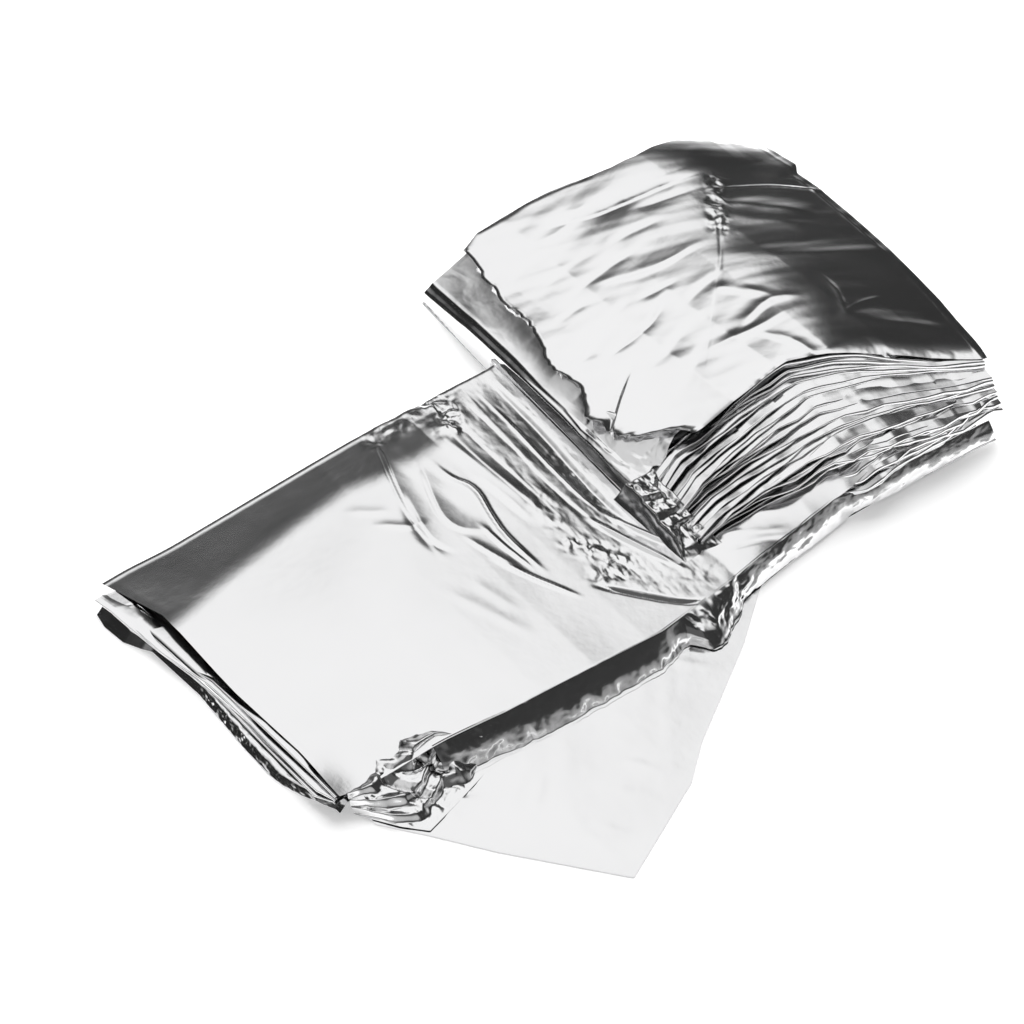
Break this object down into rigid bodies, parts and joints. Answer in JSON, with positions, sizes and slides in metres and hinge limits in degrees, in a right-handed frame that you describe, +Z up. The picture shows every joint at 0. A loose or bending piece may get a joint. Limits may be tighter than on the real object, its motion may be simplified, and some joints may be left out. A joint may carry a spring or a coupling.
{
  "type": "emergency foil blanket",
  "caption": "Silver emergency foil blanket, part unfolded: a long flat flap runs under a loose folded pack, and a single layer is pulled out to the front.",
  "frame": {"origin": "middle of the footprint, on the surface the blanket lies on", "axes": "+X runs along the flap towards the folded pack, +Y across the flap towards the pack's back edge, +Z up"},
  "size_m": [0.2964, 0.2436, 0.0334],
  "materials": {
    "metallised_film": "bright mirror-like silver film, finely creased"
  },
  "bodies": {
    "root": {"foil_blanket": "metallised_film"}
  },
  "joints": []
}
